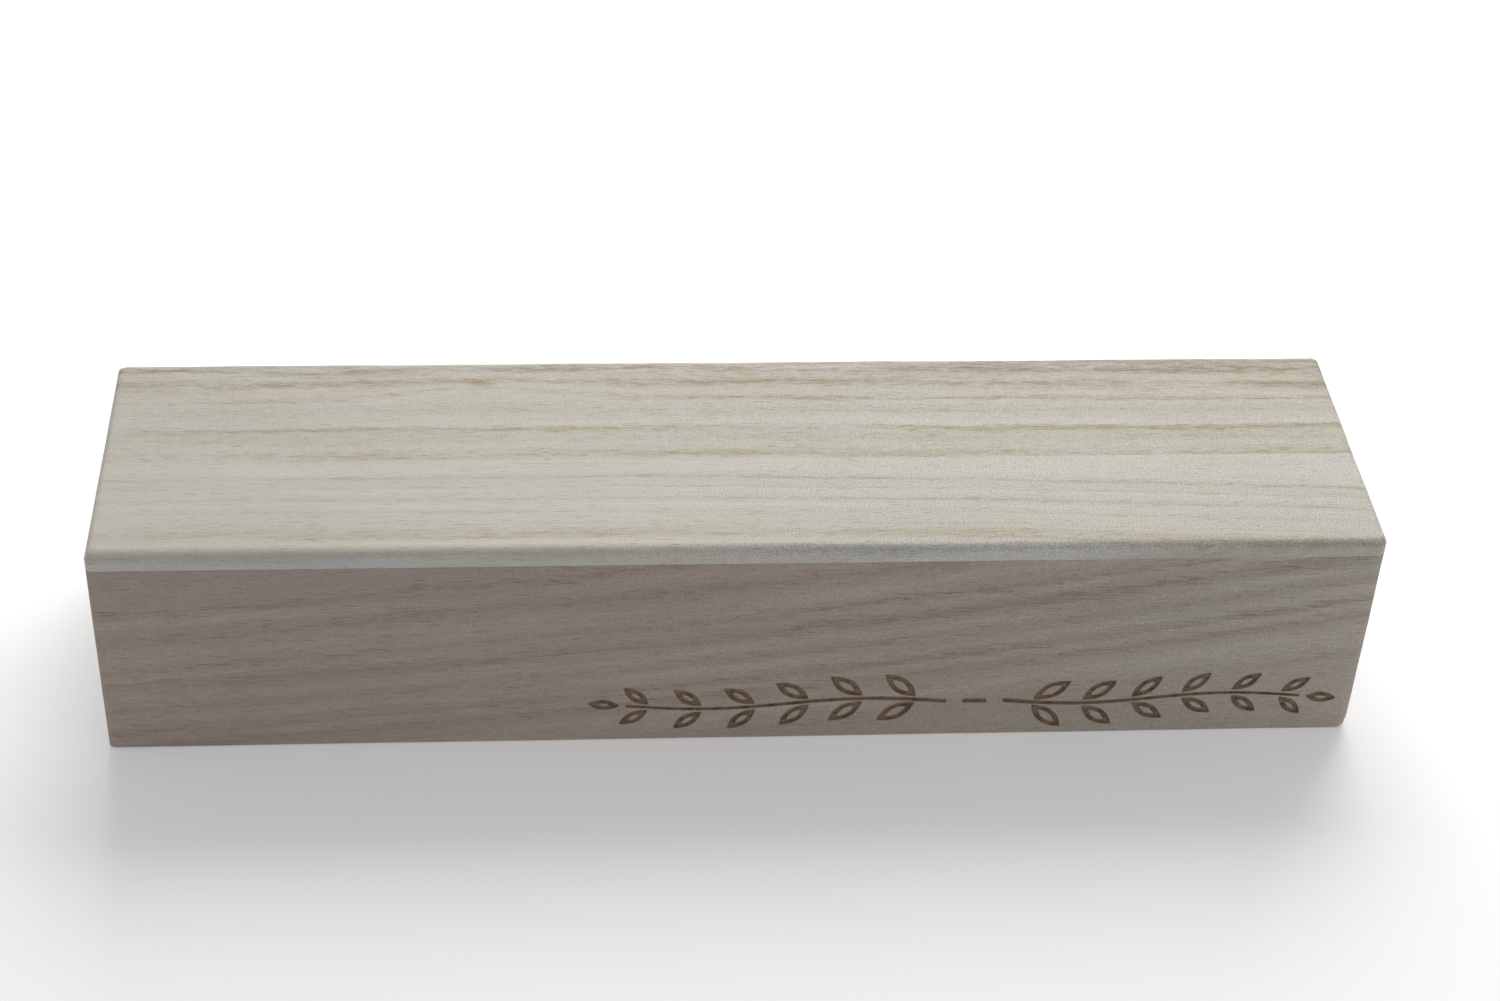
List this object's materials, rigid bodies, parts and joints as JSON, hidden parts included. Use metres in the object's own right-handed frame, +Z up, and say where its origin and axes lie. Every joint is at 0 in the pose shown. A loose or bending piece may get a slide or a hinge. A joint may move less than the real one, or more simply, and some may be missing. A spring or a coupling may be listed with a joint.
{
  "type": "wooden block plaque",
  "caption": "Long free-standing wooden plaque: a closed block-shaped case of thin planks, with an engraved line ornament low on the right of its front face, for display on a shelf.",
  "frame": {"origin": "centre of the base, on the surface that the plaque stands on", "axes": "+X along the length, to the right as seen from the front; -Y out of the engraved front face; +Z up"},
  "size_m": [0.35, 0.087, 0.069],
  "materials": {
    "pale_wood": "bare, fine-sanded, nearly white sapwood with faint straight grain",
    "streaked_wood": "bare, fine-sanded pale wood with thin brown grain lines",
    "front_wood": "bare, fine-sanded mauve-brown heartwood, with scorched engraved lines",
    "back_wood": "bare, fine-sanded mauve-brown heartwood",
    "end_wood": "bare, fine-sanded pale wood",
    "panel_wood": "bare, lightly sanded pale wood",
    "block_wood": "bare, sawn softwood",
    "screw_brass": "satin"
  },
  "bodies": {
    "root": {"top_front_stave": "pale_wood", "top_rear_stave": "streaked_wood", "front_board": "front_wood", "back_board": "back_wood", "left_end_board": "end_wood", "right_end_board": "end_wood", "bottom_panel": "panel_wood", "corner_block_front_left": "block_wood", "corner_block_front_right": "block_wood", "corner_block_rear_left": "block_wood", "corner_block_rear_right": "block_wood", "bottom_screw_front_left": "screw_brass", "bottom_screw_front_right": "screw_brass", "bottom_screw_rear_left": "screw_brass", "bottom_screw_rear_right": "screw_brass"}
  },
  "joints": []
}
